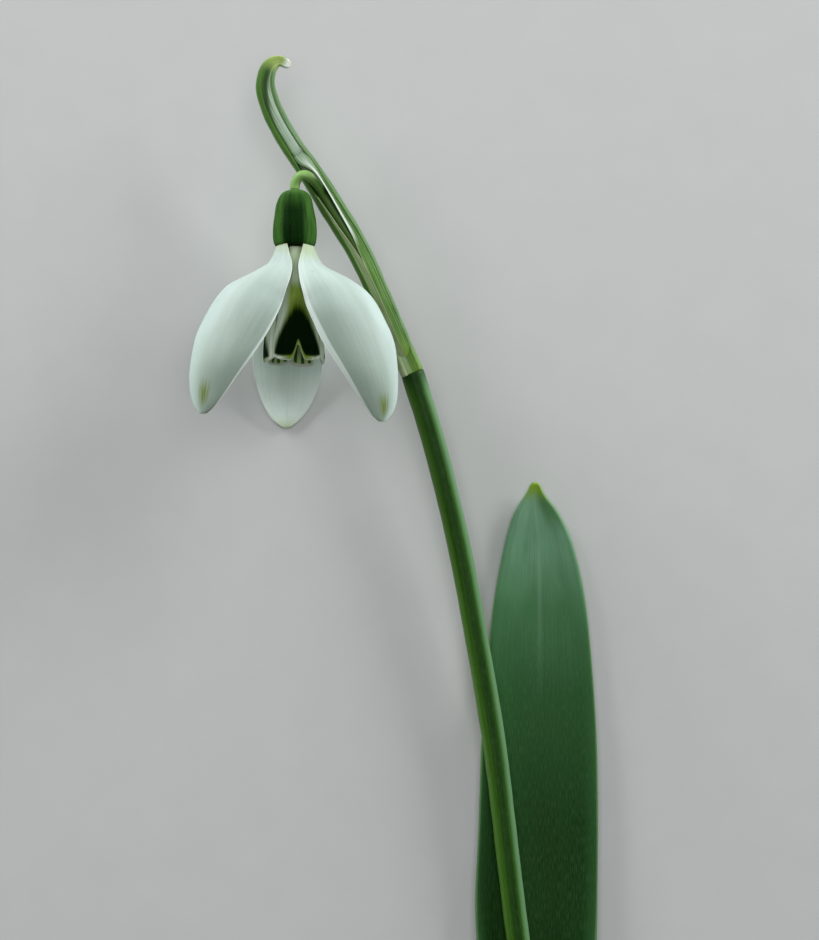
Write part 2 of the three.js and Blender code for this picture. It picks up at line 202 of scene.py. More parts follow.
# The disc, one anther and the style, as (radius, height)
DISC_PROFILE = [(0, -0.7), (0.86, -0.7), (0.9, -0.6), (0.9, -0.15), (0, -0.1)]
ANTHER_PROFILE = [
    (0, -6.6), (0.06, -6.35), (0.12, -5.8), (0.24, -4.6), (0.3, -3.6), (0.34, -2.6),
    (0.33, -1.9), (0.24, -1.35), (0.15, -1.1), (0.14, -0.4), (0, -0.4),
]
ANTHER_COUNT = 6
ANTHER_RING = 0.72
STYLE_PROFILE = [
    (0, -8.2), (0.13, -8.19), (0.2, -8.1), (0.22, -7.9), (0.26, -6.5), (0.3, -0.8), (0, -0.8),
]

# The table, the light and the camera, in metres, watts and camera millimetres
TABLE_SIZE = 4
DAYLIGHT = (0.97, 1, 0.99)
LIGHTS = [  # name, place, size, power, colour
    ("left_window", (-0.42, 0.42, 0.15), (0.3, 0.3), 3.0, DAYLIGHT),
    ("right_window", (0.46, 0.36, 0.15), (0.3, 0.3), 3.2, DAYLIGHT),
    ("overhead", (0.0, 0.14, 0.75), (0.5, 0.5), 1.8, (1, 1, 1)),
]
LIT_PLACE = (0, 0.02, 0.01)
ROOM_COLOUR = (0.9, 0.95, 1, 1)
ROOM_STRENGTH = 0.1
CAMERA_PLACE = (0.00154, 0.0168, 0.328)
CAMERA_SENSOR = 36
CAMERA_LENS = 102.13

# Small helpers ----------------


def reading(pairs, place):
    """Reads a smooth curve through (place, value) pairs, whose places rise."""
    if place <= pairs[0][0]:
        return pairs[0][1]
    if place >= pairs[-1][0]:
        return pairs[-1][1]
    index = next(i for i, pair in enumerate(pairs) if pair[0] > place) - 1

    def slope(i):
        before = pairs[max(i - 1, 0)]
        after = pairs[min(i + 1, len(pairs) - 1)]
        return (after[1] - before[1]) / (after[0] - before[0])

    (x0, y0), (x1, y1) = pairs[index], pairs[index + 1]
    step = x1 - x0
    u = (place - x0) / step
    start = y0 * (1 + 2 * u) * (1 - u) ** 2 + slope(index) * step * u * (1 - u) ** 2
    end = y1 * u**2 * (3 - 2 * u) + slope(index + 1) * step * u**2 * (u - 1)
    return start + end


class Route:
    """A smooth line through points, measured along its length."""

    STEPS = 400

    def __init__(self, points):
        points = [Vector(point) for point in points]
        ends = [2 * points[0] - points[1]], [2 * points[-1] - points[-2]]
        self.points = ends[0] + points + ends[1]
        self.samples = [self.at(i / self.STEPS) for i in range(self.STEPS + 1)]
        self.lengths = [0.0]
        for a, b in zip(self.samples, self.samples[1:]):
            self.lengths.append(self.lengths[-1] + (b - a).length)

    def at(self, share):
        """A place on the curve that passes through every point, by its share of the spans."""
        spans = len(self.points) - 3
        index = min(int(share * spans), spans - 1)
        u = share * spans - index
        p0, p1, p2, p3 = self.points[index:index + 4]
        d0, d1, d2 = ((b - a).length ** 0.5 for a, b in ((p0, p1), (p1, p2), (p2, p3)))
        start = ((p1 - p0) / d0 - (p2 - p0) / (d0 + d1)) * d1 + (p2 - p1)
        end = (p2 - p1) - ((p3 - p1) / (d1 + d2) - (p3 - p2) / d2) * d1
        return (
            p1
            + start * u
            + (3 * (p2 - p1) - 2 * start - end) * u**2
            + (2 * (p1 - p2) + start + end) * u**3
        )

    def point(self, share):
        """The place at a share of the whole length."""
        goal = max(0.0, min(1.0, share)) * self.lengths[-1]
        index = next((i for i, length in enumerate(self.lengths) if length >= goal), self.STEPS)
        if index == 0:
            return self.samples[0].copy()
        low, high = self.lengths[index - 1], self.lengths[index]
        return self.samples[index - 1].lerp(self.samples[index], (goal - low) / (high - low))

    def direction(self, share):
        nudge = 0.002
        return (self.point(share + nudge) - self.point(share - nudge)).normalized()


def put_down():
    """Leaves nothing selected."""
    bpy.ops.object.select_all(action="DESELECT")


def take(piece):
    """Selects one piece alone and makes it the active one."""
    put_down()
    piece.select_set(True)
    bpy.context.view_layer.objects.active = piece


def finish_with(piece, kind, **settings):
    """Adds a modifier to a piece and applies it."""
    take(piece)
    modifier = piece.modifiers.new(kind.title(), kind)
    for key, value in settings.items():
        setattr(modifier, key, value)
    bpy.ops.object.modifier_apply(modifier=modifier.name)


def refine(piece, levels):
    if levels:
        finish_with(piece, "SUBSURF", levels=levels, render_levels=levels)


def smooth(piece, angle):
    take(piece)
    bpy.ops.object.shade_smooth_by_angle(angle=math.radians(angle))


def flat_grid(name, columns, rows):
    """A flat grid from -1 to 1, with its rows laid from -Y to +Y and a UV map."""
    put_down()
    bpy.ops.mesh.primitive_grid_add(x_subdivisions=columns, y_subdivisions=rows, size=2)
    piece = bpy.context.object
    piece.name = name
    piece.data.name = name
    return piece


def pick(piece, chosen):
    """Selects only the chosen vertices of a piece that is in edit mode."""
    mesh = bmesh.from_edit_mesh(piece.data)
    mesh.verts.ensure_lookup_table()
    for vert in mesh.verts:
        vert.select = False
    for index in chosen:
        mesh.verts[index].select = True
    mesh.select_flush_mode()
    bmesh.update_edit_mesh(piece.data)


def by_hand(piece):
    """Opens a piece for shaping, with its vertices to pick."""
    take(piece)
    bpy.ops.object.mode_set(mode="EDIT")
    bpy.ops.mesh.select_mode(type="VERT")


def put_away():
    bpy.ops.object.mode_set(mode="OBJECT")


def face_out(piece, seam=0.0):
    """Turns a piece's faces outwards, after merging any vertices closer than a seam."""
    by_hand(piece)
    bpy.ops.mesh.select_all(action="SELECT")
    if seam:
        bpy.ops.mesh.remove_doubles(threshold=seam)
    bpy.ops.mesh.normals_make_consistent(inside=False)
    put_away()


def turn_picked(axis, angle):
    """Turns what is picked about the origin, anticlockwise seen from the axis's far end."""
    bpy.ops.transform.rotate(value=-angle, orient_axis=axis, center_override=(0, 0, 0))


class Sheet:
    """A flat grid of rows and columns, shaped row by row. Its UV map keeps the shares."""

    def __init__(self, name, columns, rows):
        self.piece = flat_grid(name, columns, rows)
        self.columns = columns
        self.rows = rows
        by_hand(self.piece)

    def pick_row(self, row):
        start = row * (self.columns + 1)
        pick(self.piece, range(start, start + self.columns + 1))

    def pick_column(self, column):
        pick(self.piece, range(column, len(self.piece.data.vertices), self.columns + 1))

    def arch(self, height):
        """Lifts each column by a height that depends on its share from -1 to 1."""
        for column in range(self.columns + 1):
            self.pick_column(column)
            share = 2 * column / self.columns - 1
            bpy.ops.transform.translate(value=(0, 0, height(share)))

    def roll(self):
        """Moves the columns round a circle of radius 1: a tube with its seam below."""
        for column in range(self.columns + 1):
            self.pick_column(column)
            flat = 2 * column / self.columns - 1
            angle = math.pi * flat
            place = (math.sin(angle) - flat, 0, math.cos(angle))
            bpy.ops.transform.translate(value=place)

    def lay(self, row, size, turns, place, aside=0.0):
        """Sizes one row (across, up), turns it about the origin and carries it to its place."""
        self.pick_row(row)
        flat = 2 * row / self.rows - 1
        bpy.ops.transform.translate(value=(0, -flat, 0))
        bpy.ops.transform.resize(value=(size[0], 1, size[1]), center_override=(0, 0, 0))
        bpy.ops.transform.translate(value=(aside, 0, 0))
        for axis, angle in turns:
            turn_picked(axis, angle)
        bpy.ops.transform.translate(value=place)

    def finish(self):
        put_away()
        return self.piece


def facing(direction):
    """The turns that bring a row's own +Y to a direction, with its across side kept level."""
    pitch = math.asin(direction.z)
    heading = math.atan2(-direction.x, direction.y)
    return [("X", pitch), ("Z", heading)]


def set_points(piece, place):
    """Places each vertex of a flat grid by its shares: across from -1 to 1, along from 0 to 1."""
    for vert in piece.data.vertices:
        vert.co = place(vert.co.x, (vert.co.y + 1) / 2)


def ripple(piece, depth, scale, seed):
    """Makes a surface slightly uneven along its normals, as a grown thing is."""
    shift = Vector((seed * 7.3, seed * 3.1, seed * 5.7))
    normals = [vert.normal.copy() for vert in piece.data.vertices]
    for vert, normal in zip(piece.data.vertices, normals):
        vert.co += normal * depth * noise.noise(vert.co * scale + shift)


def turned(axis, angle):
    return Matrix.Rotation(math.radians(angle), 4, axis)


def carry(piece, *matrices):
    """Carries a piece by matrices, keeps its place in its mesh, and brings it to metres."""
    take(piece)
    total = Matrix.Scale(MM, 4)
    for matrix in matrices:
        total = total @ matrix
    piece.matrix_world = total
    bpy.ops.object.transform_apply(location=True, rotation=True, scale=True)


def settle(piece, levels, *matrices, uneven=None, angle=50):
    """Refines a shaped piece, makes it uneven by (depth, scale, seed), and carries it."""
    refine(piece, levels)
    if uneven:
        ripple(piece, *uneven)
    smooth(piece, angle)
    carry(piece, *matrices)
    return piece


def stands_for(piece, node, slot, *finishes):
    """Gives a piece its materials and its body, and hides the solid part of its node. The slot is
    not used.
    """
    for index, finish in enumerate(finishes):
        if index < len(piece.data.materials):
            piece.data.materials[index] = finish
        else:
            piece.data.materials.append(finish)
    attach(piece, "root")
    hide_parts(node)


# Stem, pedicel and ovary ----------------


def tube(name, columns, rings):
    """A closed tube through rings, each (place, direction, radius)."""
    sheet = Sheet(name, columns, len(rings) - 1)
    sheet.roll()
    for row, (place, direction, radius) in enumerate(rings):
        sheet.lay(row, (radius, radius), facing(direction), place)
    piece = sheet.finish()
    face_out(piece, SEAM)
    return piece


def rings_along(route, radius, steps, dome):
    """Rings along a route, closed at both ends, with a rim that is rounded by dome."""
    shares = [i / steps for i in range(steps + 1)]
    rings = [(route.point(share), route.direction(share), radius) for share in shares]
    (first, ahead, _), (last, onward, _) = rings[0], rings[-1]
    start, end = [], []
    for scale, inset in ((0.0006, 0.0), (0.5, 0.0), (1 - dome, 0.02), (0.985, dome * 0.45)):
        start.append((first + ahead * inset * radius, ahead, radius * scale))
        end.append((last - onward * inset * radius, onward, radius * scale))
    rings[0] = (first + ahead * dome * radius, ahead, radius)
    rings[-1] = (last - onward * dome * radius, onward, radius)
    return start + rings + end[::-1]


def make_stem():
    route = Route(STEM_ROUTE)
    piece = tube("stem_stalk", 28, rings_along(route, STEM_RADIUS, 90, 0.12))
    return settle(piece, 1, uneven=(0.05, 0.35, 1))


def make_pedicel():
    route = Route(PEDICEL_ROUTE)
    return settle(tube("pedicel_arch", 20, rings_along(route, PEDICEL_RADIUS, 80, 0.2)), 1)


def make_ovary():
    up = Vector((0, 1, 0))
    top = OVARY_RADII[-1][0]
    rings = [(up * 0.0, up, POINT), (up * 0.0, up, OVARY_FOOT_RING)]
    for row in range(OVARY_ROWS + 1):
        share = row / OVARY_ROWS
        rings.append((up * share * top, up, reading(OVARY_RADII, share * top)))
    rings += [(up * top, up, OVARY_TOP_RING), (up * top, up, POINT)]
    return settle(tube("ovary_case", 36, rings), 1, bloom_frame(), uneven=(0.1, 0.5, 4))


# Bloom ----------------


def bloom_frame():
    """Carries the bloom's own frame, with its ovary's foot at the origin, to its place."""
    return Matrix.Translation(BLOOM_PLACE) @ turned("X", -BLOOM_TILT)


def thicken(piece, thickness, rim, side_slots=False):
    """Gives a blade its thickness, down to a rim's share of it at its margins, and a wall round it.

    With side slots, each of its two sides has a material slot of its own.
    """
    group = piece.vertex_groups.new(name="body")
    layer = piece.data.uv_layers[0].data
    shares = {}
    for loop in piece.data.loops:
        shares[loop.vertex_index] = layer[loop.index].uv.copy()
    for index, uv in shares.items():
        across = abs(2 * uv.x - 1)
        margin = max(across**4, uv.y**14)
        group.add([index], 1 - (1 - rim) * margin, "REPLACE")
    settings = {"thickness": thickness, "offset": 0, "vertex_group": "body", "use_rim": True}
    if side_slots:
        piece.data.materials.append(None)
        piece.data.materials.append(None)
        settings["material_offset"] = 1
    finish_with(piece, "SOLIDIFY", **settings)
    piece.vertex_groups.clear()


def make_outer_petal(petal, seed):
    columns, rows = 18, 34
    spine = Route(OUTER_SPINE)
    sheet = Sheet(petal["name"] + "_blade", columns, rows)
    sheet.arch(lambda share: share**2)
    twist = math.radians(petal["twist"])
    for row in range(rows + 1):
        share = 1 - (1 - row / rows) ** OUTER_ROW_BIAS
        half = reading(OUTER_HALF_WIDTHS, share) * reading(petal["breadths"], share)
        margin = 2 * math.atan(reading(OUTER_CUPS, share))
        wide = half * math.sin(margin) / margin
        deep = half * (1 - math.cos(margin)) / margin
        along = outer_direction(spine, share)
        turns = [
            ("Y", -twist * reading(OUTER_TWISTS, share)),
            ("X", math.atan2(along.z, along.y)),
        ]
        aside = reading(petal["sways"], share)
        place = outer_point(spine, share) * petal["size"]
        sheet.lay(row, (wide, deep), turns, place, aside)
    piece = sheet.finish()
    thicken(piece, PETAL_THICKNESS, OUTER_MARGIN, side_slots=True)
    place_fleck(piece, petal)
    stance = turned("Y", petal["turn"]), turned("X", -petal["opening"])
    return settle(piece, 2, bloom_frame(), *stance, uneven=(0.22, 0.22, seed), angle=70)


def place_fleck(piece, petal):
    """Slides the petal's map, so its fleck falls where this petal has it."""
    across, along = petal["fleck"]
    for corner in piece.data.uv_layers[0].data:
        corner.uv.x += PAINTED_FLECK[0] - across
        corner.uv.y += PAINTED_FLECK[1] - along


def outer_point(spine, share):
    point = spine.point(share)
    return Vector((0, -point.y, point.z))


def outer_direction(spine, share):
    direction = spine.direction(share)
    return Vector((0, -direction.y, direction.z))


def inner_point(across, along, spread):
    """A point of an inner petal on the bell: along is 1 all round its notched margin."""
    notch = NOTCH_DEPTH * max(0.0, 1 - abs(across) / NOTCH_SHARE) ** 1.2
    lobes = LOBE_DROP * max(0.0, abs(across) - LOBE_SHARE) ** 2
    down = 0.1 + along * (INNER_LENGTH - notch - lobes)
    radius = reading(INNER_RADII, down)
    angle = across * math.radians(reading(INNER_HALF_ANGLES, down)) * spread
    return Vector((radius * math.sin(angle), -down, radius * math.cos(angle)))


def make_inner_petal(petal, seed):
    piece = flat_grid(petal["name"] + "_blade", 26, 26)
    set_points(piece, lambda across, along: inner_point(across, along, petal["spread"]))
    thicken(piece, PETAL_THICKNESS, INNER_MARGIN, side_slots=True)
    tuck = Matrix.Diagonal((petal["tuck"], 1, petal["tuck"], 1))
    stance = turned("Y", TUBE_TURN + petal["turn"]), tuck
    return settle(piece, 2, bloom_frame(), *stance, uneven=(0.12, 0.4, seed), angle=70)


def spindle(name, profile, columns):
    """A round piece hanging along -Y, from (radius, height) pairs."""
    up = Vector((0, 1, 0))
    rings = [(up * height, up, max(radius, POINT)) for radius, height in profile]
    return tube(name, columns, rings)


def make_stamens():
    """The disc and the anthers, which stand close together round the style, as one piece."""
    disc = spindle("stamen_ring", DISC_PROFILE, 28)
    first = spindle("anther", ANTHER_PROFILE, 16)
    refine(first, 1)
    copies = []
    for index in range(ANTHER_COUNT):
        anther = first.copy()
        anther.data = first.data.copy()
        bpy.context.collection.objects.link(anther)
        turn = turned("Y", (index + 0.5) * 360 / ANTHER_COUNT)
        anther.data.transform(turn @ Matrix.Translation((0, 0, ANTHER_RING)))
        copies.append(anther)
    bpy.data.objects.remove(first)
    put_down()
    for anther in copies:
        anther.select_set(True)
    disc.select_set(True)
    bpy.context.view_layer.objects.active = disc
    bpy.ops.object.join()
    return settle(disc, 0, bloom_frame(), turned("Y", TUBE_TURN))


def make_style():
    piece = spindle("style_column", STYLE_PROFILE, 18)
    return settle(piece, 1, bloom_frame(), turned("Y", TUBE_TURN))


# Sheath and leaf ----------------


def sheath_frame(route, share):
    """Where the sheath runs at a share: its place, its level side and its front."""
    direction = route.direction(share)
    side = direction.cross(Vector((0, 0, 1))).normalized()
    return route.point(share), side, side.cross(direction)


def sheath_sizes(share):
    """The sheath's half width and half depth, and where the lip of its groove is."""
    width = reading(SHEATH_HALF_WIDTHS, share)
    return width, reading(SHEATH_HALF_DEPTHS, share), min(GROOVE_WIDTH / 2, width * 0.5)


def sheath_outline(share):
    """The (side, front) points round the sheath, from the middle of its groove."""
    width, depth, lip = sheath_sizes(share)
    lip_height = 0.92 * depth
    floor = lip_height + (GROOVE_FLOOR - lip_height) * reading(GROOVE_DEPTHS, share)
    half = [
        (lip, floor),
        (lip, lip_height),
        (0.72 * width, depth),
        (0.93 * width, 0.62 * depth),
        (width, 0.05 * depth),
        (0.9 * width, -0.5 * depth),
        (0.55 * width, -0.88 * depth),
    ]
    other = [(-x, y) for x, y in reversed(half)]
    return [(0, floor), *half, (0, -depth), *other, (0, floor)]


def make_sheath():
    """The two green keels with the groove between them, closed over above the pedicel."""
    route = Route(SHEATH_ROUTE)
    body = [(row / SHEATH_ROWS, 1, 0) for row in range(SHEATH_ROWS + 1)]
    laid = SHEATH_FOOT + body + SHEATH_TIP
    piece = flat_grid("sheath_keels", SHEATH_COLUMNS, len(laid) - 1)
    for row, (share, size, ahead) in enumerate(laid):
        place, side, front = sheath_frame(route, share)
        place += route.direction(share) * ahead
        for column, (x, z) in enumerate(sheath_outline(share)):
            vert = piece.data.vertices[row * (SHEATH_COLUMNS + 1) + column]
            vert.co = place + side * x * size + front * z * size
    face_out(piece, SEAM)
    return settle(piece, 2, uneven=(0.07, 0.5, 9), angle=60)


def flap(name, route, edges, side_sign, curl):
    """One thin flap, from a lip of the groove to its free edge over the pedicel.

    Its edge curls up until the groove closes, and its ends dip into the sheath.
    """
    piece = flat_grid(name, 8, 100)
    first, last = edges[0][0], edges[-1][0]
    for vert in piece.data.vertices:
        reach = (vert.co.x + 1) / 2
        share = first + (last - first) * (vert.co.y + 1) / 2
        _, depth, lip = sheath_sizes(share)
        x = lip * (FLAP_ROOT + (reading(edges, share) - FLAP_ROOT) * reach)
        dome = FLAP_DOME * max(0.0, 1 - (x / lip) ** 2) * reading(FLAP_DOMES, share)
        curled = curl * reach**3 * min(1, max(0, (0.68 - share) / 0.06))
        wave = 0.03 * math.sin(share * 64) * reach
        tip_dip = 0.16 * max(0.0, (share - 0.64) / 0.04) ** 2
        foot_dip = 0.3 * max(0.0, (0.08 - share) / 0.035) ** 2
        height = 0.93 * depth + dome + curled + wave - tip_dip - foot_dip
        place, side, front = sheath_frame(route, share)
        vert.co = place + side * side_sign * x + front * height
    for corner in piece.data.uv_layers[0].data:
        corner.uv.x = corner.uv.x / 2 + (0.5 if side_sign > 0 else 0)
    return piece


def make_film():
    """The two flaps that close the groove, and part where the pedicel comes out."""
    route = Route(SHEATH_ROUTE)
    right = flap("sheath_film", route, RIGHT_FLAP_EDGES, 1, RIGHT_FLAP_CURL)
    left = flap("left_flap", route, LEFT_FLAP_EDGES, -1, LEFT_FLAP_CURL)
    take(right)
    left.select_set(True)
    bpy.ops.object.join()
    face_out(right)
    finish_with(right, "SOLIDIFY", thickness=FLAP_THICKNESS, offset=0)
    return settle(right, 1, angle=60)


def leaf_point(across, along):
    """A point of the leaf, which is bent across into part of a circle and rises to its tip."""
    y = LEAF_BASE + (LEAF_TIP - LEAF_BASE) * (1 - (1 - along) ** LEAF_ROW_BIAS)
    bend = reading(LEAF_BENDS, y)
    angle = across * reading(LEAF_HALF_WIDTHS, y) * bend
    middle = reading(LEAF_MIDDLES, y)
    rise = LEAF_THICKNESS / 2 - LEAF_PRESS + reading(LEAF_RISES, y)
    return Vector((middle + math.sin(angle) / bend, y, rise + (1 - math.cos(angle)) / bend))


def make_leaf():
    piece = flat_grid("leaf_blade", 24, 110)
    set_points(piece, leaf_point)
    thicken(piece, LEAF_THICKNESS, LEAF_MARGIN_THICKNESS / LEAF_THICKNESS)
    refine(piece, 1)
    ripple(piece, 0.08, 0.12, 12)
    for vert in piece.data.vertices:
        vert.co.z = max(vert.co.z, 0.0)
    return settle(piece, 0, angle=60)


# Finishes ----------------


def paint(colour):
    """Turns 0 to 255 screen values into a colour, and leaves a node's output as it is."""
    if isinstance(colour, bpy.types.NodeSocket):
        return colour
    return (*(((value / 255 + 0.055) / 1.055) ** 2.4 for value in colour), 1)


class Look:
    """A material made of nodes, with short ways to wire them and to lay colour over colour."""

    def __init__(self, name, roughness, gloss=0.5):
        self.material = bpy.data.materials.new(name)
        self.material.use_nodes = True
        self.tree = self.material.node_tree
        self.skin = self.tree.nodes["Principled BSDF"]
        self.fill(self.skin, {"Roughness": roughness, "Specular IOR Level": gloss})
        self.shade = None
        place = self.add("ShaderNodeTexCoord")
        self.uv = place.outputs["UV"]
        self.object = place.outputs["Object"]
        split = self.add("ShaderNodeSeparateXYZ", {0: self.uv})
        self.across, self.along = split.outputs[0], split.outputs[1]

    def add(self, kind, inputs=None, **settings):
        """Adds a node with its settings, and fills its inputs."""
        node = self.tree.nodes.new(kind)
        for key, value in settings.items():
            setattr(node, key, value)
        self.fill(node, inputs or {})
        return node

    def fill(self, node, inputs):
        """Wires each input of a node to an output, or sets it to a plain value."""
        for key, value in inputs.items():
            if isinstance(value, bpy.types.NodeSocket):
                self.tree.links.new(value, node.inputs[key])
            else:
                node.inputs[key].default_value = value

    def calc(self, operation, *values):
        inputs = dict(enumerate(values))
        return self.add("ShaderNodeMath", inputs, operation=operation).outputs[0]

    def times(self, value, *others):
        for other in others:
            value = self.calc("MULTIPLY", value, other)
        return value

    def plus(self, value, other):
        return self.calc("ADD", value, other)

    def less(self, value, other):
        return self.calc("SUBTRACT", value, other)

    def line(self, value, slope, start):
        return self.calc("MULTIPLY_ADD", value, slope, start)

    def apart(self, value, other):
        return self.calc("ABSOLUTE", self.less(value, other))

    def fade(self, value, low, high, start=0.0, end=1.0):
        """From start to end, softly, as a value goes from low to high."""
        inputs = dict(enumerate((value, low, high, start, end)))
        node = self.add("ShaderNodeMapRange", inputs, interpolation_type="SMOOTHSTEP")
        return node.outputs[0]

    def fade_along(self, *numbers):
        return self.fade(self.along, *numbers)

    def band(self, value, middle, half, soft):
        """1 within half of a middle, softly 0 outside it."""
        return self.fade(self.apart(value, middle), half - soft, half + soft, 1, 0)

    def grain(self, scale, detail=3, stretch=(1, 1, 1), shift=(0, 0, 0), on_uv=True):
        """Noise from 0 to 1, with as many grains across and along the map as its stretch says."""
        inputs = {0: self.uv if on_uv else self.object, "Scale": stretch, "Location": shift}
        mapping = self.add("ShaderNodeMapping", inputs)
        inputs = {"Vector": mapping.outputs[0], "Scale": scale, "Detail": detail}
        return self.add("ShaderNodeTexNoise", inputs).outputs[0]

    def mix(self, share, under, over):
        """From one colour to another, as a share goes from 0 to 1."""
        inputs = {0: share, 6: paint(under), 7: paint(over)}
        return self.add("ShaderNodeMix", inputs, data_type="RGBA").outputs[2]

    def ramp(self, value, stops):
        """A colour for a value, from (place, colour) stops."""
        node = self.add("ShaderNodeValToRGB", {0: value})
        elements = node.color_ramp.elements
        while len(elements) < len(stops):
            elements.new(0.5)
        for element, (place, colour) in zip(elements, stops):
            element.position = place
            element.color = paint(colour)
        return node.outputs[0]

    def bump(self, height, depth, strength=0.5):
        """Roughens the skin, by up to a depth in millimetres."""
        inputs = {"Height": height, "Distance": depth * MM, "Strength": strength}
        node = self.add("ShaderNodeBump", inputs)
        self.fill(self.skin, {"Normal": node.outputs[0]})

    def cover(self, share, colour):
        """Lays a colour over the shade that is there, by a share from 0 to 1."""
        self.shade = self.mix(share, self.shade, colour)

    def done(self):
        """Gives the material, in its shade."""
        self.fill(self.skin, {"Base Color": self.shade})
        return self.material

    def translucent(self, weight, reach):
        """Lets light through, to a reach in metres for red, green and blue."""
        inputs = {"Subsurface Weight": weight, "Subsurface Radius": reach, "Subsurface Scale": 1}
        self.fill(self.skin, inputs)


CREAM = (192, 206, 162)
YOUNG_GREEN = (132, 168, 62)
# The leaf's greens along its length, as (share, colour): partly its own colour and partly painted
# light, brightest near the tip and falling off to dark lower down
LEAF_GREENS_AND_LIGHT = [
    (0, (206, 214, 170)), (0.1, (112, 146, 76)), (0.22, (18, 56, 4)), (0.42, (24, 64, 18)),
    (0.6, (46, 92, 46)), (0.74, (78, 128, 86)), (0.88, (124, 172, 138)), (0.965, (142, 188, 150)),
]


def petal_white(name, outside, lit_edge=0, painted_shading=0):
    """Satin white with hair-fine lengthwise lines; outside, an olive fleck near the tip.

    The outside has painted light along its lit edge, which is at 0 or 1 across, and painted shade
    away from it. Both sides have painted shade towards their lower part, and the inside is painted
    whiter than the outside.
    """
    look = Look(name, 0.5, 0.25)
    cells = look.grain(1, 3, (150, 5, 1))
    veins = look.grain(1, 2, (24, 1.3, 1))
    broad = look.grain(1, 2, (4, 3, 1), (7, 2, 0))
    # Painted light and painted shade: the inside is painted whiter, the outside greyer.
    if outside:
        under, over, lined, painted_low_shade = (190, 206, 200), (204, 219, 214), 0.2, 0.72
    else:
        under, over, lined, painted_low_shade = (226, 242, 233), (236, 249, 241), 0.1, 0.12
    look.shade = look.mix(look.fade(broad, 0.3, 0.7), under, over)
    look.cover(look.fade(veins, 0.3, 0.62, lined, 0), (166, 184, 174))
    look.cover(look.fade(cells, 0.25, 0.55, lined, 0), (152, 172, 160))
    claw = look.fade_along(0.01, 0.09, 0.5, 0)
    look.cover(claw, (186, 204, 132))
    # Painted shade: greyer towards the lower part of the petal, deeper on the outside.
    low = look.fade_along(0.22, 0.92, 0, painted_low_shade)
    look.cover(low, (142, 158, 142))
    if outside:
        # Painted shade away from the outside's lit edge, and painted light along it.
        from_lit = look.apart(look.across, lit_edge)
        body = look.fade_along(0.08, 0.42)
        painted_edge_shade = look.times(look.fade(from_lit, 0.15, 0.9, 0, painted_shading), body)
        look.cover(painted_edge_shade, (107, 122, 109))
        lit = look.times(look.fade(from_lit, 0.08, 0.45, 0.6 * painted_shading, 0), body)
        look.cover(lit, (222, 243, 241))
        margin = look.fade(look.apart(look.across, 0.5), 0.472, 0.495, 0, 0.45)
        look.cover(look.times(margin, look.fade_along(0.08, 0.2)), (232, 243, 238))
    specks = look.fade(look.grain(1, 1, (34, 17, 1), (9, 4, 0)), 0.79, 0.81, 0, 0.6)
    look.cover(specks, (110, 112, 80))
    if outside:
        lines = look.fade(look.grain(1, 1, (44, 3, 1), (2, 0, 0)), 0.36, 0.54, 0.3, 1)
        ragged = look.line(veins, 0.05, look.along)
        fleck = look.band(look.across, PAINTED_FLECK[0], 0.12, 0.09)
        fleck = look.times(fleck, look.band(ragged, 0.92, 0.055, 0.05), lines)
        look.cover(fleck, (102, 122, 10))
    else:
        tip = look.fade_along(0.9, 1, 0, 0.5)
        look.cover(tip, (176, 190, 120))
    look.bump(look.plus(look.times(veins, 1.6), cells), 0.07)
    look.translucent(0.3, (0.0008, 0.001, 0.0008))
    return look.done()


def down_inner(look):
    """How far from an inner petal's middle a place is, and how far down and from its rim, in mm."""
    side = look.calc("ABSOLUTE", look.line(look.across, 2, -1))
    notch = look.line(side, -1 / NOTCH_SHARE, 1)
    notch = look.calc("POWER", look.calc("MAXIMUM", notch, 0), 1.2)
    lobe = look.calc("MAXIMUM", look.less(side, LOBE_SHARE), 0)
    lobe = look.times(look.calc("POWER", lobe, 2), LOBE_DROP)
    length = look.less(INNER_LENGTH, lobe)
    length = look.line(notch, -NOTCH_DEPTH, length)
    down = look.times(look.along, length)
    return side, down, look.less(length, down)


def inner_outside(name, mark_top, reach):
    """The outside of an inner petal: olive throat, a deep green bridge over the notch, pale rim."""
    look = Look(name, 0.6, 0.02)
    side, down, from_rim = down_inner(look)
    stripes = look.grain(1, 3, (70, 1.6, 1))
    wide = look.grain(1, 2, (20, 1.2, 1), (5, 0, 0))
    look.shade = look.mix(look.fade(stripes, 0.32, 0.62), (184, 200, 166), (236, 244, 232))
    claw = look.fade(down, 3.2, 4.6, 0.75, 0)
    look.cover(claw, (178, 194, 156))
    throat = look.times(look.fade(down, 3.4, 5.6), look.fade(side, 0.3, 0.72, 1, 0))
    look.cover(look.times(throat, look.fade(stripes, 0.25, 0.55, 0.7, 1)), (134, 160, 56))
    arch = look.line(look.calc("POWER", side, 1.7), 6, mark_top)
    arch = look.line(wide, 0.9, arch)
    below = look.plus(look.less(down, arch), 0.4)
    soft = look.times(look.fade(below, -1.5, 0.5), look.fade(from_rim, 0.3, 0.55))
    soft = look.times(soft, look.fade(side, reach, reach + 0.1, 1, 0), 0.9)
    look.cover(soft, (74, 98, 22))
    deep = look.times(look.fade(below, -0.3, 0.9), look.fade(from_rim, 0.42, 0.7))
    deep = look.times(deep, look.fade(side, reach - 0.06, reach + 0.07, 1, 0))
    look.cover(deep, look.mix(wide, (1, 14, 0), (6, 30, 0)))
    look.bump(stripes, 0.1)
    look.translucent(0.2, (0.0005, 0.0007, 0.0005))
    return look.done()


